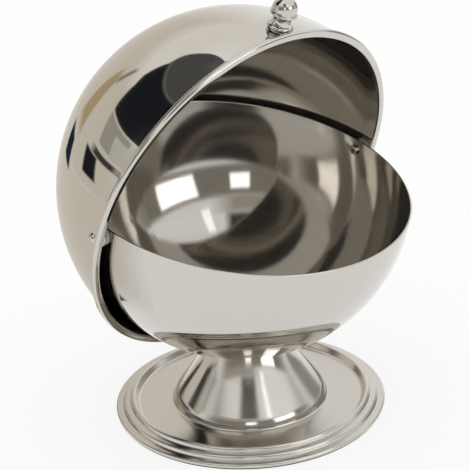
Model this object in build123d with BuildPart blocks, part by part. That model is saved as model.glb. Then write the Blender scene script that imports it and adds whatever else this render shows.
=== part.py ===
from build123d import *
from math import asin, cos, degrees, radians, sin, sqrt
import os

# Coffee capsule canister: a polished steel globe on a trumpet foot. The upper half of the globe
# is a roll-top lid on two rivets, shown rolled back under the bowl. Millimetres, +Z up, front
# towards -Y. The origin is the middle of the foot, on the table.

# Bowl
BOWL_RADIUS = 71.0
BOWL_SHEET = 0.8
BOWL_HEIGHT = 98.4
OPENING_RISE = 4.1
OPENING_TILT = 15.0
BOWL_LIP_RADIUS = 0.3

# Pivot axis, parallel to X, below the middle of the bowl's sphere
PIVOT_DROP = 1.2

# Lid, whose axis leans back by the open angle
LID_SHEET = 0.8
LID_CLEARANCE = 2.3
LID_OPEN_ANGLE = 66.5
DOME_RISE = 1.0
RIM_DROP = 6.0
RIM_WIDTH = 3.5
RIM_DEPTH = 2.8
RIM_CORNER = 1.3
RIM_EDGE_GAP = 0.3

# Rivets and their spacers
RIVET_DIAMETER = 3.0
RIVET_HEAD_DIAMETER = 4.4
RIVET_HEAD_HEIGHT = 1.3
RIVET_TAIL_DIAMETER = 4.4
RIVET_TAIL_HEIGHT = 1.0
RIVET_TAIL_ROUND = 0.5
RIVET_BORE = 1.7
RIVET_BORE_DEPTH = 2.2
SPACER_DIAMETER = 8.0

# Knob, standing on the straight wall of the lid
KNOB_RISE = 2.5
KNOB_BALL_DIAMETER = 9.8
KNOB_BALL_HEIGHT = 8.3
KNOB_LIP_DIAMETER = 10.6
KNOB_LIP_THICKNESS = 0.9
KNOB_LIP_HEIGHT = 6.5
KNOB_LIP_ROUND = 0.3
KNOB_WAIST_DIAMETER = 7.0
KNOB_THROAT_DIAMETER = 8.0
KNOB_BASE_DIAMETER = 10.2
KNOB_BASE_THICKNESS = 2.6
KNOB_BASE_ROUND = 1.1
KNOB_STUD_DIAMETER = 4.0
KNOB_STUD_LENGTH = 8.0
KNOB_STUD_CHAMFER = 0.5

# Foot
FOOT_RADIUS = 58.9
FOOT_SHEET = 0.8
NECK_RADIUS = 17.2
BELL_WAIST_RADIUS = 22.7
BELL_WAIST_HEIGHT = 17.0
BELL_BASE_RADIUS = 32.0
PAN_HEIGHT = 2.4
PAN_FILLET = 3.0
NECK_FILLET = 1.6
STEP_COUNT = 2
STEP_WIDTH = 3.2
STEP_HEIGHT = 1.75
STEP_SLOPE = 0.5
CROWN_WIDTH = 1.5
LIP_HEIGHT = 2.3
HEM_WIDTH = 2.6
STEP_ROUND = 1.0
STEP_CORNER = 0.35

# Ring under the foot
BASE_RING_THICKNESS = 0.5
BASE_RING_WIDTH = 2.2
BASE_RING_INSET = 0.7

# Stud and clamp that hold the foot to the bowl
STUD_DIAMETER = 6.0
STUD_LENGTH = 12.5
STUD_CHAMFER = 0.6
WELD_FLANGE_DIAMETER = 8.4
WELD_FLANGE_THICKNESS = 0.6
CLAMP_DIAMETER = 24.0
CLAMP_THICKNESS = 2.0
LOCK_WASHER_DIAMETER = 11.2
LOCK_WASHER_THICKNESS = 1.6
LOCK_WASHER_SLIT = 1.2
NUT_ACROSS_FLATS = 10.0
NUT_THICKNESS = 5.0
NUT_CHAMFER = 0.8

# Clearances
SEAT_GAP = 0.02
HOLE_GAP = 0.05
HINGE_GAP = 0.08
SCREW_GAP = 0.2

# Planes: each piece's section lies in the plane of symmetry, so its seam is at the back
SECTION_DIR = (1, 0, 0)
PIVOT = Vector(0, 0, BOWL_HEIGHT - PIVOT_DROP)
TILT = radians(OPENING_TILT)
OPENING_UP = Vector(0, -sin(TILT), cos(TILT))
BOWL_CENTRE = Vector(0, 0, BOWL_HEIGHT)
BOWL_PLANE = Plane(BOWL_CENTRE, x_dir=(0, cos(TILT), sin(TILT)), z_dir=SECTION_DIR)
BOWL_AXIS = Axis(BOWL_CENTRE, OPENING_UP)

LEAN = radians(LID_OPEN_ANGLE)
LID_UP = Vector(0, sin(LEAN), cos(LEAN))
LID_BACK = Vector(0, cos(LEAN), -sin(LEAN))
LID_SECTION = Plane(PIVOT, x_dir=LID_BACK, z_dir=SECTION_DIR)
LID_AXIS = Axis(PIVOT, LID_UP)
FOOT_SECTION = Plane.YZ

PIVOT_CROSS = Plane(PIVOT, x_dir=(0, 1, 0), z_dir=SECTION_DIR)
PIVOT_SECTION = Plane(PIVOT, x_dir=SECTION_DIR, z_dir=(0, -1, 0))
PIVOT_AXIS = Axis(PIVOT, SECTION_DIR)

# Sizes that follow from the fits
LID_INNER_RADIUS = BOWL_RADIUS + LID_CLEARANCE
LID_RADIUS = LID_INNER_RADIUS + LID_SHEET
BOWL_INNER_RADIUS = BOWL_RADIUS - BOWL_SHEET
NECK_BALL_RADIUS = BOWL_RADIUS + SEAT_GAP
CLAMP_BALL_RADIUS = NECK_BALL_RADIUS + FOOT_SHEET + SEAT_GAP
SHANK_RADIUS = RIVET_DIAMETER / 2


def ball_height(radius, distance):
    """Height of a ball's surface over its middle, at a distance from its axis."""
    return sqrt(radius**2 - distance**2)


def dish_height(radius, distance):
    """Height of the underside of a ball round the bowl's middle, at a distance from its axis."""
    return BOWL_HEIGHT - ball_height(radius, distance)


# Bowl: a spun hemisphere, whose opening leans towards the front
outer_lip_angle = degrees(asin(OPENING_RISE / BOWL_RADIUS))
inner_lip_angle = degrees(asin(OPENING_RISE / BOWL_INNER_RADIUS))
with BuildPart() as bowl:
    with BuildSketch(BOWL_PLANE):
        with BuildLine():
            outside = CenterArc((0, 0), BOWL_RADIUS, -90, 90 + outer_lip_angle)
            inside = CenterArc((0, 0), BOWL_INNER_RADIUS, -90, 90 + inner_lip_angle)
            Line(outside @ 0, inside @ 0)
            Line(outside @ 1, inside @ 1)
        make_face()
    revolve(axis=BOWL_AXIS)
    lip = bowl.faces().filter_by(GeomType.PLANE).edges()
    fillet(lip, BOWL_LIP_RADIUS)
    with BuildSketch(PIVOT_CROSS):
        Circle(SHANK_RADIUS + HOLE_GAP)
    extrude(amount=BOWL_RADIUS, both=True, mode=Mode.SUBTRACT)

# Lid: a domed shell with a straight wall, whose edge is rolled outwards into a hollow rim
rim_low = -RIM_DROP + LID_SHEET / 2
rim_high = rim_low + RIM_DEPTH - LID_SHEET
wall_middle = LID_INNER_RADIUS + LID_SHEET / 2
rim_outer = LID_INNER_RADIUS + RIM_WIDTH - LID_SHEET / 2
with BuildPart() as lid:
    with BuildSketch(LID_SECTION):
        with BuildLine():
            wall = Line((LID_RADIUS, rim_high), (LID_RADIUS, DOME_RISE))
            dome = CenterArc((0, DOME_RISE), LID_RADIUS, 0, 90)
            Line(dome @ 1, dome @ 1 - Vector(0, LID_SHEET))
            CenterArc((0, DOME_RISE), LID_INNER_RADIUS, 0, 90)
            inner_wall = Line((LID_INNER_RADIUS, DOME_RISE), (LID_INNER_RADIUS, rim_high))
            Line(inner_wall @ 1, wall @ 0)
        make_face()
    revolve(axis=LID_AXIS)
    with BuildSketch(LID_SECTION):
        with BuildLine():
            FilletPolyline(
                (wall_middle, rim_high + SEAT_GAP),
                (wall_middle, rim_low),
                (rim_outer, rim_low),
                (rim_outer, rim_high),
                (LID_RADIUS + RIM_EDGE_GAP + LID_SHEET / 2, rim_high),
                radius=RIM_CORNER - LID_SHEET / 2,
            )
            offset(amount=LID_SHEET / 2, kind=Kind.ARC, side=Side.BOTH)
        make_face()
    revolve(axis=LID_AXIS)
    with BuildSketch(PIVOT_CROSS):
        Circle(SHANK_RADIUS + HINGE_GAP)
    extrude(amount=LID_RADIUS, both=True, mode=Mode.SUBTRACT)

# Foot: a trumpet bell that flares into a dished pan, with a stepped edge hemmed underneath
hub_radius = WELD_FLANGE_DIAMETER / 2 + SCREW_GAP
dish_radii = [NECK_RADIUS, (NECK_RADIUS + hub_radius) / 2, hub_radius]
neck_dish = [(radius, dish_height(NECK_BALL_RADIUS, radius)) for radius in dish_radii]
edge_points = [
    (FOOT_RADIUS - HEM_WIDTH, BASE_RING_THICKNESS),
    (FOOT_RADIUS, BASE_RING_THICKNESS),
    (FOOT_RADIUS, LIP_HEIGHT),
]
edge_rounds = [STEP_ROUND, STEP_ROUND]
for step in range(STEP_COUNT):
    tread_end = FOOT_RADIUS - (step + 1) * STEP_WIDTH
    tread_height = LIP_HEIGHT + step * STEP_HEIGHT
    edge_points.append((tread_end, tread_height))
    edge_points.append((tread_end - STEP_SLOPE, tread_height + STEP_HEIGHT))
    edge_rounds.extend([STEP_CORNER, STEP_ROUND])
crown_radius = FOOT_RADIUS - STEP_COUNT * STEP_WIDTH - STEP_SLOPE - CROWN_WIDTH
crown_height = LIP_HEIGHT + STEP_COUNT * STEP_HEIGHT
edge_points.append((crown_radius, crown_height))
edge_rounds.append(STEP_ROUND)
edge_points.append((BELL_BASE_RADIUS, PAN_HEIGHT))

with BuildPart() as foot:
    with BuildSketch(FOOT_SECTION):
        with BuildLine() as skin:
            FilletPolyline(*edge_points, radius=edge_rounds)
            ThreePointArc(edge_points[-1], (BELL_WAIST_RADIUS, BELL_WAIST_HEIGHT), neck_dish[0])
            ThreePointArc(*neck_dish)
            pan_corner = skin.vertices().sort_by_distance((0, *edge_points[-1]))[0]
            fillet(pan_corner, PAN_FILLET)
            neck_corner = skin.vertices().sort_by_distance((0, *neck_dish[0]))[0]
            fillet(neck_corner, NECK_FILLET)
            offset(amount=FOOT_SHEET, side=Side.LEFT)
        make_face()
    revolve(axis=Axis.Z)

# Base ring: a flat rubber ring under the foot's hem
with BuildPart() as base_ring:
    with BuildSketch(Plane.XY):
        Circle(FOOT_RADIUS - BASE_RING_INSET)
        Circle(FOOT_RADIUS - BASE_RING_INSET - BASE_RING_WIDTH, mode=Mode.SUBTRACT)
    extrude(amount=BASE_RING_THICKNESS - SEAT_GAP)

# Bowl stud: a threaded stud with a dished flange, welded under the bowl
flange_radius = WELD_FLANGE_DIAMETER / 2
flange_low = BOWL_HEIGHT - BOWL_RADIUS - WELD_FLANGE_THICKNESS
stud_radius = STUD_DIAMETER / 2
stud_low = flange_low - STUD_LENGTH
flange_radii = [0, flange_radius / 2, flange_radius]
flange_dish = [(radius, dish_height(NECK_BALL_RADIUS, radius)) for radius in flange_radii]
with BuildPart() as bowl_stud:
    with BuildSketch(FOOT_SECTION):
        with BuildLine():
            dish = ThreePointArc(*flange_dish)
            Polyline(
                dish @ 1,
                (flange_radius, flange_low),
                (stud_radius, flange_low),
                (stud_radius, stud_low + STUD_CHAMFER),
                (stud_radius - STUD_CHAMFER, stud_low),
                (0, stud_low),
                dish @ 0,
            )
        make_face()
    revolve(axis=Axis.Z)

# Foot clamp: a thick washer, dished like the neck's top, that spreads the pull of the nut
clamp_radius = CLAMP_DIAMETER / 2
clamp_hole_radius = stud_radius + SCREW_GAP
clamp_low = BOWL_HEIGHT - CLAMP_BALL_RADIUS - CLAMP_THICKNESS
clamp_radii = [clamp_hole_radius, clamp_radius / 2, clamp_radius]
clamp_dish = [(radius, dish_height(CLAMP_BALL_RADIUS, radius)) for radius in clamp_radii]
with BuildPart() as foot_clamp:
    with BuildSketch(FOOT_SECTION):
        with BuildLine():
            dish = ThreePointArc(*clamp_dish)
            Polyline(dish @ 1, (clamp_radius, clamp_low), (clamp_hole_radius, clamp_low), dish @ 0)
        make_face()
    revolve(axis=Axis.Z)

# Lock washer: a split spring washer under the clamp
washer_high = clamp_low - SEAT_GAP
with BuildPart() as lock_washer:
    with BuildSketch(Plane.XY.offset(washer_high)):
        Circle(LOCK_WASHER_DIAMETER / 2)
        Circle(clamp_hole_radius, mode=Mode.SUBTRACT)
        with Locations((LOCK_WASHER_DIAMETER / 2, 0)):
            Rectangle(LOCK_WASHER_DIAMETER, LOCK_WASHER_SLIT, mode=Mode.SUBTRACT)
    extrude(amount=-LOCK_WASHER_THICKNESS)

# Foot nut: a hexagon nut on the stud, with chamfered corners
nut_high = washer_high - LOCK_WASHER_THICKNESS - SEAT_GAP
nut_corner_radius = NUT_ACROSS_FLATS / sqrt(3)
with BuildPart() as foot_nut:
    with BuildSketch(Plane.XY.offset(nut_high)):
        Circle(nut_corner_radius)
    extrude(amount=-NUT_THICKNESS)
    chamfer(foot_nut.edges().filter_by(GeomType.CIRCLE), NUT_CHAMFER)
    with BuildSketch(Plane.XY.offset(nut_high)):
        RegularPolygon(nut_corner_radius, side_count=6)
        Circle(stud_radius + HOLE_GAP, mode=Mode.SUBTRACT)
    extrude(amount=-NUT_THICKNESS, mode=Mode.INTERSECT)

# Pivot rivets: domed outside the lid and rolled over inside the bowl, one on each side
head_seat = LID_RADIUS + HINGE_GAP
head_radius = RIVET_HEAD_DIAMETER / 2
dome_radius = (head_radius**2 + RIVET_HEAD_HEIGHT**2) / (2 * RIVET_HEAD_HEIGHT)
tail_radius = RIVET_TAIL_DIAMETER / 2
tail_seat = ball_height(BOWL_INNER_RADIUS, PIVOT_DROP + tail_radius) - SEAT_GAP
tail_end = tail_seat - RIVET_TAIL_HEIGHT
with BuildPart() as pivot_rivets:
    with BuildSketch(PIVOT_SECTION):
        with BuildLine():
            bore = Polyline(
                (tail_end + RIVET_BORE_DEPTH, 0),
                (tail_end + RIVET_BORE_DEPTH, RIVET_BORE / 2),
                (tail_end, RIVET_BORE / 2),
            )
            tail = FilletPolyline(
                bore @ 1,
                (tail_end, tail_radius),
                (tail_seat, tail_radius),
                radius=RIVET_TAIL_ROUND,
            )
            shank = Polyline(
                tail @ 1,
                (tail_seat, SHANK_RADIUS),
                (head_seat, SHANK_RADIUS),
                (head_seat, head_radius),
            )
            head = RadiusArc(shank @ 1, (head_seat + RIVET_HEAD_HEIGHT, 0), dome_radius)
            Line(head @ 1, bore @ 0)
        make_face()
    revolve(axis=PIVOT_AXIS)
    mirror(about=Plane.YZ)

# Pivot spacers: thick plastic washers on the rivets, between the bowl and the lid
spacer_low = BOWL_RADIUS + SEAT_GAP
spacer_high = ball_height(LID_INNER_RADIUS, SPACER_DIAMETER / 2) - HINGE_GAP
with BuildPart() as pivot_spacers:
    with BuildSketch(PIVOT_CROSS.offset(spacer_low)):
        Circle(SPACER_DIAMETER / 2)
        Circle(SHANK_RADIUS + HOLE_GAP, mode=Mode.SUBTRACT)
    extrude(amount=spacer_high - spacer_low)
    mirror(about=Plane.YZ)

# Knob: a turned ball with a lip over a waist, screwed on a stud that is welded to the lid
KNOB_SEAT = PIVOT + LID_UP * KNOB_RISE - LID_BACK * (LID_RADIUS + SEAT_GAP)
KNOB_SECTION = Plane(KNOB_SEAT, x_dir=LID_UP, z_dir=SECTION_DIR)
KNOB_CROSS = Plane(KNOB_SEAT, x_dir=SECTION_DIR, z_dir=-LID_BACK)
KNOB_AXIS = Axis(KNOB_SEAT, -LID_BACK)
knob_low = KNOB_BASE_THICKNESS + SEAT_GAP
lip_high = KNOB_LIP_HEIGHT + KNOB_LIP_THICKNESS
waist_middle = (knob_low + KNOB_LIP_HEIGHT) / 2
ball_radius = KNOB_BALL_DIAMETER / 2
ball_edge = degrees(asin((lip_high - KNOB_BALL_HEIGHT) / ball_radius))
with BuildPart() as knob:
    with BuildSketch(KNOB_SECTION):
        with BuildLine():
            ball = CenterArc((0, KNOB_BALL_HEIGHT), ball_radius, ball_edge, 90 - ball_edge)
            lip = FilletPolyline(
                ball @ 0,
                (KNOB_LIP_DIAMETER / 2, lip_high),
                (KNOB_LIP_DIAMETER / 2, KNOB_LIP_HEIGHT),
                (KNOB_THROAT_DIAMETER / 2, KNOB_LIP_HEIGHT),
                radius=KNOB_LIP_ROUND,
            )
            waist = ThreePointArc(
                lip @ 1,
                (KNOB_WAIST_DIAMETER / 2, waist_middle),
                (KNOB_THROAT_DIAMETER / 2, knob_low),
            )
            Polyline(waist @ 1, (0, knob_low), ball @ 1)
        make_face()
    revolve(axis=KNOB_AXIS)
    with BuildSketch(KNOB_CROSS):
        Circle(KNOB_STUD_DIAMETER / 2 + HOLE_GAP)
    extrude(amount=KNOB_STUD_LENGTH + SCREW_GAP, mode=Mode.SUBTRACT)

# Knob base: a rounded ring between the knob and the lid
with BuildPart() as knob_base:
    with BuildSketch(KNOB_CROSS):
        Circle(KNOB_BASE_DIAMETER / 2)
        Circle(KNOB_STUD_DIAMETER / 2 + SCREW_GAP, mode=Mode.SUBTRACT)
    extrude(amount=KNOB_BASE_THICKNESS)
    outer_edges = knob_base.edges().filter_by(GeomType.CIRCLE).sort_by(SortBy.RADIUS)[-2:]
    fillet(outer_edges, KNOB_BASE_ROUND)

# Knob stud: threaded, welded to the outside of the lid's wall
with BuildPart() as knob_stud:
    with BuildSketch(KNOB_CROSS):
        Circle(KNOB_STUD_DIAMETER / 2)
    extrude(amount=KNOB_STUD_LENGTH)
    chamfer(knob_stud.faces().sort_by(KNOB_AXIS)[-1].edges(), KNOB_STUD_CHAMFER)

pieces = {
    "bowl": bowl,
    "foot": foot,
    "base_ring": base_ring,
    "bowl_stud": bowl_stud,
    "foot_clamp": foot_clamp,
    "lock_washer": lock_washer,
    "foot_nut": foot_nut,
    "pivot_rivets": pivot_rivets,
    "pivot_spacers": pivot_spacers,
    "lid": lid,
    "knob": knob,
    "knob_base": knob_base,
    "knob_stud": knob_stud,
}
os.makedirs("parts", exist_ok=True)
for name, piece in pieces.items():
    piece.part.label = name
    export_step(piece.part, f"parts/{name}.step")
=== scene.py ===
import math

import bmesh
import bpy
from mathutils import Matrix, Vector


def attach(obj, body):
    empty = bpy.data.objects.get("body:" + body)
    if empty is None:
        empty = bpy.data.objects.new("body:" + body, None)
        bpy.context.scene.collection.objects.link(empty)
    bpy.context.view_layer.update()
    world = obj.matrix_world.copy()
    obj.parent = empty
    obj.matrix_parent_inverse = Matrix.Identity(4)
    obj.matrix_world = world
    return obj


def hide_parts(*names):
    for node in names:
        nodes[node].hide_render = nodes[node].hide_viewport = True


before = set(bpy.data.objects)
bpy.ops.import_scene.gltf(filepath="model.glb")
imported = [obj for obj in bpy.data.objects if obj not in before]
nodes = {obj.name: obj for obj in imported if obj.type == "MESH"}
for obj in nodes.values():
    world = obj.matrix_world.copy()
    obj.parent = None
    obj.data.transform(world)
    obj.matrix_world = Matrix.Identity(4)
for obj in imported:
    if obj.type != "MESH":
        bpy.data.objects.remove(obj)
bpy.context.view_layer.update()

# The shapes that the finishes follow, in metres and degrees; a skin is the radius of a sheet's middle
BOWL_MIDDLE = (0, 0, 0.0984)
BOWL_TILT = 15.0
BOWL_SKIN = 0.0706
LID_MIDDLE = (0, 0, 0.0972)
LID_LEAN = -66.5
LID_DOME_RISE = 0.0010
LID_SKIN = 0.0737
KNOB_SEAT = (0, -0.0273, 0.1661)
KNOB_LEAN = 23.5
GROUND = (0, 0, 0)
UPRIGHT = 0.0

# Camera: its place, turn and lens, as solved from the photograph
ELEVATION = math.radians(20.832)
ROLL = math.radians(-3.136)
AZIMUTH = math.radians(-40.999)
DISTANCE = 0.4744
SHIFT = (-0.00194, -0.01714)
AIM = Vector((0, 0, 0.0952))
PHOTO_WIDTH = 470
LENS_IN_PIXELS = 1150
SENSOR = 36
NEAREST, FARTHEST = 0.01, 50
FOCAL = LENS_IN_PIXELS / PHOTO_WIDTH * SENSOR


def camera():
    turn = Matrix.Rotation(AZIMUTH, 3, "Z")
    right = turn @ Vector((1, 0, 0))
    up = turn @ Vector((0, math.sin(ELEVATION), math.cos(ELEVATION)))
    back = turn @ Vector((0, -math.cos(ELEVATION), math.sin(ELEVATION)))
    c, s = math.cos(ROLL), math.sin(ROLL)
    right, up = c * right + s * up, c * up - s * right
    place = AIM + right * SHIFT[0] + up * SHIFT[1] + back * DISTANCE
    data = bpy.data.cameras.new("camera")
    data.sensor_width = SENSOR
    data.lens = FOCAL
    data.clip_start, data.clip_end = NEAREST, FARTHEST
    cam = bpy.data.objects.new("camera", data)
    turned = Matrix((right, up, back)).transposed().to_4x4()
    cam.matrix_world = Matrix.Translation(place) @ turned
    bpy.context.scene.collection.objects.link(cam)
    bpy.context.scene.camera = cam


camera()


# Shapes

# Degrees in each step of a rounded corner, and the radius under which a point is on the axis
ARC_STEP = 4
FEWEST_STEPS = 3
ON_AXIS = 0.00001


def rounded(points, radii):
    """A path of (radius, height) points whose corners are rounded; radii has one value a corner."""
    path = [Vector(points[0])]
    for before, corner, after, radius in zip(points, points[1:], points[2:], radii):
        before, corner, after = Vector(before), Vector(corner), Vector(after)
        back, ahead = (before - corner).normalized(), (after - corner).normalized()
        half = back.angle(ahead) / 2
        middle = corner + (back + ahead).normalized() * radius / math.sin(half)
        start = (corner + back * radius / math.tan(half) - middle).normalized()
        end = (corner + ahead * radius / math.tan(half) - middle).normalized()
        count = max(FEWEST_STEPS, round(math.degrees(start.angle(end)) / ARC_STEP))
        for i in range(count + 1):
            path.append(middle + radius * start.slerp(end, i / count))
    path.append(Vector(points[-1]))
    return path


def piece_of(name, mesh):
    """A new piece in the scene, from a finished mesh."""
    data = bpy.data.meshes.new(name)
    mesh.to_mesh(data)
    mesh.free()
    piece = bpy.data.objects.new(name, data)
    bpy.context.scene.collection.objects.link(piece)
    return piece


def lathe(name, path, stand=Matrix.Identity(4), sides=240):
    """A skin turned round the stand's upright axis; it is closed where the path ends on the axis."""
    mesh = bmesh.new()
    rings = []
    for radius, height in path:
        if radius < ON_AXIS:
            rings.append([mesh.verts.new(stand @ Vector((0, 0, height)))] * sides)
            continue
        rings.append([mesh.verts.new(stand @ Vector((radius * math.cos(2 * math.pi * i / sides),
                                                     radius * math.sin(2 * math.pi * i / sides),
                                                     height)))
                      for i in range(sides)])
    for low, high in zip(rings, rings[1:]):
        for i in range(sides):
            j = (i + 1) % sides
            corners = [low[i], low[j], high[j], high[i]]
            if high[i] == high[j]:
                corners.pop()
            mesh.faces.new(corners)
    for face in mesh.faces:
        face.smooth = True
    return piece_of(name, mesh)


SHEET = 0.0008
INWARDS = -1
BOTH_WAYS = 0


def thicken(skin, side):
    """Give a turned skin the thickness of its sheet, on the side given."""
    sheet = skin.modifiers.new("sheet", "SOLIDIFY")
    sheet.thickness = SHEET
    sheet.offset = side


# The foot's upper face as (radius, height), from under the hem to the middle of the neck
FOOT_OUTLINE = [
    (0.0563, 0.0005), (0.0589, 0.0005), (0.0589, 0.0023), (0.0557, 0.0023), (0.0552, 0.00405),
    (0.0525, 0.00405), (0.0520, 0.0058), (0.0505, 0.0058), (0.0490, 0.0030), (0.0336, 0.0026),
    (0.0329, 0.0060), (0.0197, 0.0232), (0.0172, 0.0295), (0.0108, 0.0282), (0.0044, 0.0275)]
FOOT_ROUNDS = [
    0.0008, 0.0008, 0.00035, 0.0010, 0.00035, 0.0010, 0.0008, 0.0012, 0.0010, 0.010, 0.036,
    0.0016, 0.020]


def spun_foot():
    """The foot as one spun sheet: stepped edge, dished pan, full bell and dished neck."""
    foot = lathe("foot_skin", rounded(FOOT_OUTLINE, FOOT_ROUNDS))
    thicken(foot, INWARDS)
    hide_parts("foot")
    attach(foot, "base")
    return foot


# The lid's rolled rim and straight wall as (radius, height) from the dome's own middle
LID_OUTLINE = [
    (0.0748, -0.0036), (0.0764, -0.0036), (0.0764, -0.0056), (LID_SKIN, -0.0056),
    (LID_SKIN, LID_DOME_RISE)]
RIM_ROUND = 0.0009
LID_RINGS = 45


def spun_lid():
    """The lid as one spun sheet: a dome on a short straight wall, its edge rolled out into a hollow rim."""
    path = rounded(LID_OUTLINE, [RIM_ROUND] * 3)
    for i in range(1, LID_RINGS + 1):
        turn = math.pi / 2 * i / LID_RINGS
        path.append((LID_SKIN * math.cos(turn), LID_DOME_RISE + LID_SKIN * math.sin(turn)))
    rolled_back = Matrix.Translation(LID_MIDDLE) @ Matrix.Rotation(math.radians(LID_LEAN), 4, "X")
    lid = lathe("lid_skin", path, rolled_back)
    thicken(lid, BOTH_WAYS)
    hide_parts("lid")
    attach(lid, "roll_lid")
    return lid


foot_skin = spun_foot()
lid_skin = spun_lid()


# Effects that several finishes use

def new_group(name, inputs, outputs):
    tree = bpy.data.node_groups.new(name, "ShaderNodeTree")
    for label, kind, value in inputs:
        socket = tree.interface.new_socket(label, in_out="INPUT", socket_type="NodeSocket" + kind)
        if value is not None:
            socket.default_value = value
    for label, kind in outputs:
        tree.interface.new_socket(label, in_out="OUTPUT", socket_type="NodeSocket" + kind)
    return tree, tree.nodes.new("NodeGroupInput"), tree.nodes.new("NodeGroupOutput")


def feed(tree, socket, value):
    """Link another node's output to a socket, or set the socket to a plain number or colour."""
    if hasattr(value, "is_output"):
        tree.links.new(value, socket)
    elif socket.type == "RGBA":
        socket.default_value = (*value, 1)
    else:
        socket.default_value = value


def math_node(tree, operation, *values):
    node = tree.nodes.new("ShaderNodeMath")
    node.operation = operation
    for socket, value in zip(node.inputs, values):
        feed(tree, socket, value)
    return node.outputs[0]


def split_of(tree, vector):
    node = tree.nodes.new("ShaderNodeSeparateXYZ")
    tree.links.new(vector, node.inputs[0])
    return node.outputs


def join_of(tree, *values):
    node = tree.nodes.new("ShaderNodeCombineXYZ")
    for socket, value in zip(node.inputs, values):
        feed(tree, socket, value)
    return node.outputs[0]


def length_of(tree, vector):
    node = tree.nodes.new("ShaderNodeVectorMath")
    node.operation = "LENGTH"
    tree.links.new(vector, node.inputs[0])
    return node.outputs["Value"]


def ramp(tree, value, low, high, to_low, to_high):
    node = tree.nodes.new("ShaderNodeMapRange")
    tree.links.new(value, node.inputs["Value"])
    for label, number in (("From Min", low), ("From Max", high), ("To Min", to_low), ("To Max", to_high)):
        feed(tree, node.inputs[label], number)
    return node.outputs["Result"]


def noise(tree, vector, scale, detail=2.0, roughness=0.5):
    node = tree.nodes.new("ShaderNodeTexNoise")
    node.inputs["Detail"].default_value = detail
    node.inputs["Roughness"].default_value = roughness
    feed(tree, node.inputs["Scale"], scale)
    tree.links.new(vector, node.inputs["Vector"])
    return node.outputs["Fac"]


def polish_group():
    """Buffed sheet: cloudy wipes of the polishing wheel and a slight waviness of the metal."""
    tree, start, end = new_group(
        "buffed_sheet",
        [("Place", "Vector", None), ("Wipe size", "Float", 30.0),
         ("Clear", "Float", 0.04), ("Hazy", "Float", 0.09)],
        [("Roughness", "Float"), ("Wave", "Float"), ("Wipe", "Float")])
    wipes = noise(tree, start.outputs["Place"], start.outputs["Wipe size"], detail=4.0, roughness=0.6)
    rough = ramp(tree, wipes, 0.35, 0.7, start.outputs["Clear"], start.outputs["Hazy"])
    wave = noise(tree, start.outputs["Place"], scale=22.0, detail=1.0, roughness=0.4)
    tree.links.new(rough, end.inputs["Roughness"])
    tree.links.new(wave, end.inputs["Wave"])
    tree.links.new(wipes, end.inputs["Wipe"])
    return tree


NEAR_AXIS = 0.0001

# Each output, its share of the rings in a metre, and how far its pattern drifts round the piece
RINGS = (("Ring", 1.0, 1.2), ("Broad ring", 0.06, 0.25))


def turned_group():
    """Fine rings round a piece's own axis, left by spinning, turning or brushing."""
    tree, start, end = new_group(
        "turned_rings",
        [("Turned place", "Vector", None), ("Side", "Float", 1.0), ("Rings a metre", "Float", 3000.0)],
        [("Ring", "Float"), ("Broad ring", "Float")])
    x, y, z = split_of(tree, start.outputs["Turned place"])
    square = math_node(tree, "ADD", math_node(tree, "MULTIPLY", x, x), math_node(tree, "MULTIPLY", y, y))
    radius = math_node(tree, "SQRT", square)
    along = math_node(tree, "MULTIPLY_ADD", z, start.outputs["Side"], radius)
    cosine = math_node(tree, "DIVIDE", x, math_node(tree, "MAXIMUM", radius, NEAR_AXIS))
    sine = math_node(tree, "DIVIDE", y, math_node(tree, "MAXIMUM", radius, NEAR_AXIS))
    for output, share, turn in RINGS:
        pitch = math_node(tree, "MULTIPLY", start.outputs["Rings a metre"], share)
        spot = join_of(tree, math_node(tree, "MULTIPLY", along, pitch),
                       math_node(tree, "MULTIPLY", cosine, turn),
                       math_node(tree, "MULTIPLY", sine, turn))
        tree.links.new(noise(tree, spot, scale=1.0, detail=2.0, roughness=0.6), end.inputs[output])
    return tree


BUFFED_SHEET = polish_group()
TURNED_RINGS = turned_group()


# Finishes

def new_material(name):
    mat = bpy.data.materials.new(name)
    mat.use_nodes = True
    tree = mat.node_tree
    return mat, tree, tree.nodes["Principled BSDF"]


def place_of(tree):
    return tree.nodes.new("ShaderNodeTexCoord").outputs["Object"]


def own_frame(tree, middle, lean):
    """Place seen from a piece's own middle, with its axis turned upright."""
    node = tree.nodes.new("ShaderNodeMapping")
    node.vector_type = "TEXTURE"
    node.inputs["Location"].default_value = middle
    node.inputs["Rotation"].default_value = (math.radians(lean), 0, 0)
    tree.links.new(place_of(tree), node.inputs["Vector"])
    return node.outputs[0]


def use_group(tree, group, links, values):
    node = tree.nodes.new("ShaderNodeGroup")
    node.node_tree = group
    for label, socket in links.items():
        tree.links.new(socket, node.inputs[label])
    for label, value in values.items():
        node.inputs[label].default_value = value
    return node.outputs


def mix_node(tree, data_type, socket_type, share, first, second):
    """first where share is 0 and second where it is 1."""
    node = tree.nodes.new("ShaderNodeMix")
    node.data_type = data_type
    tree.links.new(share, node.inputs["Factor"])
    for label, value in (("A", first), ("B", second)):
        socket = [s for s in node.inputs if s.name == label and s.type == socket_type][0]
        feed(tree, socket, value)
    return [s for s in node.outputs if s.type == socket_type][0]


def mix_colour(tree, share, first, second):
    return mix_node(tree, "RGBA", "RGBA", share, first, second)


def mix_value(tree, share, first, second):
    return mix_node(tree, "FLOAT", "VALUE", share, first, second)


def bump(tree, height, distance, normal=None):
    node = tree.nodes.new("ShaderNodeBump")
    node.inputs["Strength"].default_value = 1.0
    node.inputs["Distance"].default_value = distance
    tree.links.new(height, node.inputs["Height"])
    if normal is not None:
        tree.links.new(normal, node.inputs["Normal"])
    return node.outputs[0]


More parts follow.
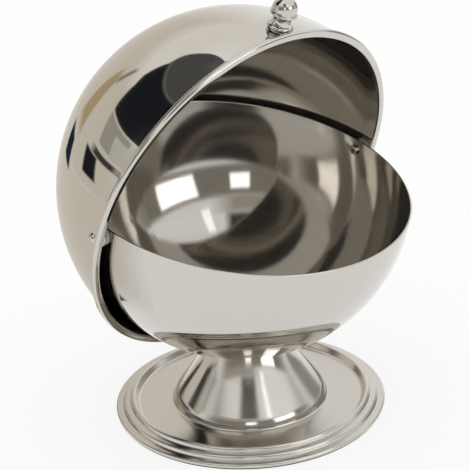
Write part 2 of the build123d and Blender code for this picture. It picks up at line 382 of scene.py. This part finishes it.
def ring_tangent(tree, middle, lean):
    """Direction that runs round a spun piece's axis, along its rings."""
    away = tree.nodes.new("ShaderNodeVectorMath")
    away.operation = "SUBTRACT"
    tree.links.new(place_of(tree), away.inputs[0])
    away.inputs[1].default_value = middle
    cross = tree.nodes.new("ShaderNodeVectorMath")
    cross.operation = "CROSS_PRODUCT"
    turn = math.radians(lean)
    cross.inputs[0].default_value = (0, -math.sin(turn), math.cos(turn))
    tree.links.new(away.outputs[0], cross.inputs[1])
    world = tree.nodes.new("ShaderNodeVectorTransform")
    world.vector_type = "VECTOR"
    world.convert_from = "OBJECT"
    world.convert_to = "WORLD"
    tree.links.new(cross.outputs[0], world.inputs[0])
    return world.outputs[0]


# The low and high ends of a noise that a ramp spreads out
QUIET, LOUD = 0.3, 0.7
WIPE_SIZE = 26.0
WIPE_SHADE = 0.965
RING_SHADE = 0.86
TOOL_SHADE = 0.9
WAVE_DEPTH = 0.00003
BRUSH_DEPTH = 0.000004
INSIDE_METAL = 0.93
BRUSH_STRETCH = 0.55
QUARTER_TURN = 0.25


def shell_steel(name, middle, lean, side, inside, outer, inner, clear, satin, rings):
    """Steel sheet, buffed bright outside and brushed in rings inside. clear and satin are the
    lowest and highest roughness outside and inside, and outer and inner the two colours."""
    mat, tree, bsdf = new_material(name)
    turned = own_frame(tree, middle, lean)
    mask = inside(tree, turned)
    sheet = use_group(tree, BUFFED_SHEET, {"Place": place_of(tree)},
                      {"Wipe size": WIPE_SIZE, "Clear": clear[0], "Hazy": clear[1]})
    turning = use_group(tree, TURNED_RINGS, {"Turned place": turned},
                        {"Side": side, "Rings a metre": rings})
    bright = mix_colour(tree, sheet["Wipe"], outer, [c * WIPE_SHADE for c in outer])
    dull = mix_colour(tree, turning["Broad ring"], inner, [c * RING_SHADE for c in inner])
    tree.links.new(mix_colour(tree, mask, bright, dull), bsdf.inputs["Base Color"])
    brushed = ramp(tree, turning["Ring"], QUIET, LOUD, satin[0], satin[1])
    tree.links.new(mix_value(tree, mask, sheet["Roughness"], brushed), bsdf.inputs["Roughness"])
    wavy = bump(tree, sheet["Wave"], WAVE_DEPTH)
    lines = math_node(tree, "MULTIPLY", turning["Ring"], mask)
    tree.links.new(bump(tree, lines, BRUSH_DEPTH, wavy), bsdf.inputs["Normal"])
    metal = ramp(tree, mask, low=0.0, high=1.0, to_low=1.0, to_high=INSIDE_METAL)
    tree.links.new(metal, bsdf.inputs["Metallic"])
    bsdf.inputs["Anisotropic"].default_value = BRUSH_STRETCH
    bsdf.inputs["Anisotropic Rotation"].default_value = QUARTER_TURN
    tree.links.new(ring_tangent(tree, middle, lean), bsdf.inputs["Tangent"])
    return mat


def within_bowl(tree, turned):
    """1 on the bowl's inner face, nearer to its middle than the middle of the sheet."""
    return math_node(tree, "LESS_THAN", length_of(tree, turned), BOWL_SKIN)


def within_lid(tree, turned):
    """1 on the inner face of the lid's dome and of the straight wall below it."""
    x, y, z = split_of(tree, turned)
    above = math_node(tree, "MAXIMUM", math_node(tree, "SUBTRACT", z, LID_DOME_RISE), 0.0)
    return math_node(tree, "LESS_THAN", length_of(tree, join_of(tree, x, y, above)), LID_SKIN)


FACES_DOWN = -0.15


def under_foot(tree, turned):
    """1 where the foot's sheet faces down."""
    normal = tree.nodes.new("ShaderNodeTexCoord").outputs["Normal"]
    return math_node(tree, "LESS_THAN", split_of(tree, normal)["Z"], FACES_DOWN)


def turned_steel(name, middle, lean, colour, rough, rings, depth):
    """Solid steel turned on a lathe, with fine tool rings."""
    mat, tree, bsdf = new_material(name)
    turned = own_frame(tree, middle, lean)
    turning = use_group(tree, TURNED_RINGS, {"Turned place": turned},
                        {"Side": 1.0, "Rings a metre": rings})
    dark = [c * TOOL_SHADE for c in colour]
    tree.links.new(mix_colour(tree, turning["Broad ring"], colour, dark), bsdf.inputs["Base Color"])
    tree.links.new(ramp(tree, turning["Ring"], QUIET, LOUD, rough[0], rough[1]), bsdf.inputs["Roughness"])
    tree.links.new(bump(tree, turning["Ring"], depth), bsdf.inputs["Normal"])
    bsdf.inputs["Metallic"].default_value = 1
    return mat


ZINC_COOL = (0.56, 0.57, 0.58)
ZINC_PALE = (0.66, 0.66, 0.65)
ZINC_WARM = (0.60, 0.58, 0.52)


def plated_steel():
    """Zinc plate: a fine crystal pattern with a cool, uneven sheen."""
    mat, tree, bsdf = new_material("zinc_plate")
    cells = tree.nodes.new("ShaderNodeTexVoronoi")
    cells.inputs["Scale"].default_value = 900
    tree.links.new(place_of(tree), cells.inputs["Vector"])
    clouds = noise(tree, place_of(tree), scale=220.0, detail=3.0)
    grey = mix_colour(tree, cells.outputs["Distance"], ZINC_COOL, ZINC_PALE)
    tree.links.new(mix_colour(tree, clouds, grey, ZINC_WARM), bsdf.inputs["Base Color"])
    tree.links.new(ramp(tree, clouds, QUIET, LOUD, 0.32, 0.5), bsdf.inputs["Roughness"])
    tree.links.new(bump(tree, cells.outputs["Distance"], distance=0.00001), bsdf.inputs["Normal"])
    bsdf.inputs["Metallic"].default_value = 1
    return mat


NYLON_WHITE = (0.80, 0.80, 0.77)
NYLON_CREAM = (0.72, 0.71, 0.67)


def white_nylon():
    """Turned nylon: milky, with faint clouds and a waxy, uneven gloss."""
    mat, tree, bsdf = new_material("white_nylon")
    clouds = noise(tree, place_of(tree), scale=400.0, detail=3.0)
    tree.links.new(mix_colour(tree, clouds, NYLON_WHITE, NYLON_CREAM), bsdf.inputs["Base Color"])
    tree.links.new(ramp(tree, clouds, QUIET, LOUD, 0.4, 0.55), bsdf.inputs["Roughness"])
    tree.links.new(bump(tree, clouds, distance=0.00002), bsdf.inputs["Normal"])
    return mat


RUBBER_BLACK = (0.022, 0.022, 0.024)
RUBBER_DUSTY = (0.05, 0.049, 0.047)


def black_rubber():
    """Moulded rubber: nearly black, dusty in patches, with fine pores."""
    mat, tree, bsdf = new_material("black_rubber")
    clouds = noise(tree, place_of(tree), scale=120.0, detail=4.0)
    pores = noise(tree, place_of(tree), scale=2500.0, detail=2.0)
    tree.links.new(mix_colour(tree, clouds, RUBBER_BLACK, RUBBER_DUSTY), bsdf.inputs["Base Color"])
    tree.links.new(ramp(tree, clouds, QUIET, LOUD, 0.6, 0.85), bsdf.inputs["Roughness"])
    tree.links.new(bump(tree, pores, distance=0.00003), bsdf.inputs["Normal"])
    return mat


STEEL = (0.63, 0.607, 0.565)
STEEL_INSIDE = (0.60, 0.575, 0.53)
# Darker, browner copy of the steel for the lid's inner face: painted shade and a painted reflection of the
# dark, brown things that the hollow faces
STEEL_PAINTED_SHADE = (0.50, 0.465, 0.41)
STEEL_PLAIN = (0.56, 0.555, 0.54)
SHEET_RINGS = 2600.0
bowl_steel = shell_steel("bowl_steel", BOWL_MIDDLE, BOWL_TILT, side=1.0, inside=within_bowl,
                         outer=STEEL, inner=STEEL_INSIDE, clear=(0.035, 0.07), satin=(0.05, 0.10),
                         rings=SHEET_RINGS)
# The lid's inner face takes the darker steel, whose colour is painted shade and painted reflection
lid_steel = shell_steel("lid_steel", LID_MIDDLE, LID_LEAN, side=-1.0, inside=within_lid,
                        outer=STEEL, inner=STEEL_PAINTED_SHADE, clear=(0.035, 0.07), satin=(0.05, 0.09),
                        rings=SHEET_RINGS)
foot_steel = shell_steel("foot_steel", GROUND, UPRIGHT, side=-1.0, inside=under_foot,
                         outer=STEEL, inner=STEEL_INSIDE, clear=(0.13, 0.21), satin=(0.3, 0.42),
                         rings=SHEET_RINGS)
knob_steel = turned_steel("knob_steel", KNOB_SEAT, KNOB_LEAN, STEEL, rough=(0.04, 0.07),
                          rings=9000.0, depth=0.000001)
rivet_steel = turned_steel("rivet_steel", LID_MIDDLE, UPRIGHT, STEEL, rough=(0.06, 0.12),
                           rings=6000.0, depth=0.000001)
fastener_steel = turned_steel("fastener_steel", GROUND, UPRIGHT, STEEL_PLAIN, rough=(0.22, 0.36),
                              rings=7000.0, depth=0.000006)
FINISHES = {
    "bowl": bowl_steel,
    "knob": knob_steel,
    "knob_base": knob_steel,
    "pivot_rivets": rivet_steel,
    "knob_stud": fastener_steel,
    "bowl_stud": fastener_steel,
    "lock_washer": fastener_steel,
    "foot_nut": fastener_steel,
    "foot_clamp": plated_steel(),
    "pivot_spacers": white_nylon(),
    "base_ring": black_rubber(),
}
for name, finish in FINISHES.items():
    nodes[name].data.materials.clear()
    nodes[name].data.materials.append(finish)
foot_skin.data.materials.append(foot_steel)
lid_skin.data.materials.append(lid_steel)


# Studio

def heading(lon, lat, far, start=AIM):
    """A point in a direction: lon 0 is the front and + is to the right, lat is the height angle."""
    lon, lat = math.radians(lon), math.radians(lat)
    level = math.cos(lat)
    return start + far * Vector((level * math.sin(lon), -level * math.cos(lon), math.sin(lat)))


def glow(name, colour, strength=1.0):
    """A card's own light, which fades out where the card's cover does."""
    mat = bpy.data.materials.new(name)
    mat.use_nodes = True
    tree = mat.node_tree
    tree.nodes.clear()
    out = tree.nodes.new("ShaderNodeOutputMaterial")
    cover = tree.nodes.new("ShaderNodeAttribute")
    cover.attribute_name = "cover"
    clear = tree.nodes.new("ShaderNodeBsdfTransparent")
    light = tree.nodes.new("ShaderNodeEmission")
    light.inputs["Color"].default_value = (*colour, 1)
    light.inputs["Strength"].default_value = strength
    mix = tree.nodes.new("ShaderNodeMixShader")
    tree.links.new(cover.outputs["Fac"], mix.inputs[0])
    tree.links.new(clear.outputs[0], mix.inputs[1])
    tree.links.new(light.outputs[0], mix.inputs[2])
    tree.links.new(mix.outputs[0], out.inputs["Surface"])
    return mat


# Faces along each side of a card, and the least height of its points above the ground
CARD_STEPS = 20
CARD_LOWEST = 0.003


def card(name, rows, colour, far=2.4, strength=1.0, soft=0.0):
    """A curved card round the object, from rows of (height angle, left, right) and, where the
    card isn't all at one distance, the row's own. Its edges fade over the soft share of its width.
    It shows in the metal only: it sheds no light on the floor and no shadow."""
    rows = [(*row, far)[:4] for row in rows]
    mesh = bmesh.new()
    cover = mesh.verts.layers.float.new("cover")
    grid = []
    for i in range(CARD_STEPS + 1):
        place = i / CARD_STEPS * (len(rows) - 1)
        below = min(int(place), len(rows) - 2)
        share = place - below
        lat, left, right, reach = [a + (b - a) * share for a, b in zip(rows[below], rows[below + 1])]
        line = []
        for j in range(CARD_STEPS + 1):
            spot = heading(left + (right - left) * j / CARD_STEPS, lat, reach)
            spot.z = max(spot.z, CARD_LOWEST)
            point = mesh.verts.new(spot)
            edge = min(i, CARD_STEPS - i, j, CARD_STEPS - j) / CARD_STEPS
            point[cover] = min(1.0, edge / soft) if soft else 1.0
            line.append(point)
        grid.append(line)
    for low, high in zip(grid, grid[1:]):
        for i in range(CARD_STEPS):
            mesh.faces.new((low[i], low[i + 1], high[i + 1], high[i]))
    piece = piece_of(name, mesh)
    piece.data.materials.append(glow(name, colour, strength))
    piece.visible_camera = False
    piece.visible_diffuse = False
    piece.visible_shadow = False
    piece.visible_transmission = False


FLOOR_SIZE = 12
FLOOR_WHITE = (0.95, 0.95, 0.95, 1)
FLOOR_GLOW = 0.78


def floor():
    """A pale floor that keeps the object's shadow; it shows nearly white to the camera and in metal."""
    bpy.ops.mesh.primitive_plane_add(size=FLOOR_SIZE)
    plane = bpy.context.object
    plane.name = "floor"
    mat = bpy.data.materials.new("floor")
    mat.use_nodes = True
    tree = mat.node_tree
    tree.nodes.clear()
    out = tree.nodes.new("ShaderNodeOutputMaterial")
    matt = tree.nodes.new("ShaderNodeBsdfDiffuse")
    matt.inputs["Color"].default_value = FLOOR_WHITE
    white = tree.nodes.new("ShaderNodeEmission")
    mix = tree.nodes.new("ShaderNodeMixShader")
    path = tree.nodes.new("ShaderNodeLightPath")
    seen = math_node(tree, "ADD", path.outputs["Is Camera Ray"], path.outputs["Is Glossy Ray"])
    seen = math_node(tree, "ADD", seen, path.outputs["Is Transmission Ray"])
    seen = math_node(tree, "MINIMUM", seen, 1.0)
    tree.links.new(math_node(tree, "MULTIPLY", seen, FLOOR_GLOW), mix.inputs[0])
    tree.links.new(matt.outputs[0], mix.inputs[1])
    tree.links.new(white.outputs[0], mix.inputs[2])
    tree.links.new(mix.outputs[0], out.inputs["Surface"])
    plane.data.materials.append(mat)


floor()
card("black_card_over", [(30, -153, -119), (32, -155, -118), (41, -160, -115), (45, -165, -112),
                         (56, -171, -108)], (0.012, 0.014, 0.018))
card("grey_strip_over", [(56.6, -171, -107), (57.8, -173, -106)], (0.14, 0.14, 0.135), far=2.35)
card("grey_card_over", [(56, -171, -106), (60, -180, -106), (66, -188, -110), (72, -197, -120),
                        (76, -202, -135), (78, -202, -160)], (0.085, 0.085, 0.083))
card("beige_card_back", [(-24, 130, 250), (45, 130, 250)], (0.72, 0.67, 0.59), far=3.0, soft=0.16)
card("pale_card_back", [(22, 78, 222), (76, 78, 222)], (0.92, 0.89, 0.845), far=3.2, soft=0.35)
card("low_card_back", [(-50, 112, 262, 0.13), (-33, 112, 262, 0.18), (-23, 112, 262, 0.26),
                       (-12, 112, 262, 0.50), (-5, 112, 262, 1.20), (-1.4, 112, 262, 4.2)],
     (0.74, 0.70, 0.63), soft=0.14)
card("foot_shade", [(-42.6, -174, -124, 0.136), (-38.0, -174, -124, 0.127)], (0.012, 0.012, 0.012),
     soft=0.15)
card("olive_card_left", [(17, -147, -122), (29, -153, -121)], (0.40, 0.385, 0.34))
card("pale_card_left", [(16, -133, -122), (26, -136, -121)], (0.62, 0.60, 0.55), far=2.3)
card("dark_strip_left", [(11.5, -154, -121), (15, -152, -121)], (0.05, 0.05, 0.055), far=2.3, soft=0.2)
card("dark_card_left", [(4, -149, -133), (14, -153, -137)], (0.014, 0.014, 0.018), far=0.5, soft=0.1)
card("tan_card", [(5, 176, 191), (18, 177, 190), (31, 179, 185)], (0.50, 0.385, 0.235), soft=0.15)
card("blue_card", [(-4.5, 178, 191), (4, 176, 188)], (0.018, 0.023, 0.045), far=1.15, soft=0.08)
card("grey_strip", [(27, 184, 188), (40, 185.5, 189)], (0.27, 0.26, 0.24), soft=0.2)
card("grey_card_right", [(-8, 58, 108), (28, 58, 108)], (0.34, 0.32, 0.28), far=2.6, soft=0.25)
card("grey_card_front", [(0, -118, 62), (26, -118, 62)], (0.26, 0.24, 0.205), far=2.6, soft=0.12)
card("warm_card_front", [(23, -120, -16), (37, -120, -16)], (0.42, 0.39, 0.33), far=2.5, soft=0.2)
card("dark_card_front", [(35, -66, -26), (46, -64, -24), (58, -64, -22)], (0.05, 0.05, 0.044), soft=0.2)
card("soft_light_right", [(5, -8, 24), (22, -10, 26)], (1.0, 0.99, 0.97), strength=2.6, soft=0.08)
card("soft_light_left", [(8, -50, -34), (20, -50, -34)], (1.0, 0.99, 0.97), strength=2.2, soft=0.08)
card("soft_light_high", [(30, -15, -6), (50, -15, -6)], (1.0, 0.99, 0.96), strength=1.8, soft=0.15)

world = bpy.data.worlds.new("studio")
bpy.context.scene.world = world
world.use_nodes = True
world.node_tree.nodes["Background"].inputs["Color"].default_value = (1, 1, 1, 1)
world.node_tree.nodes["Background"].inputs["Strength"].default_value = 1.0

bpy.context.scene.view_settings.view_transform = "Standard"
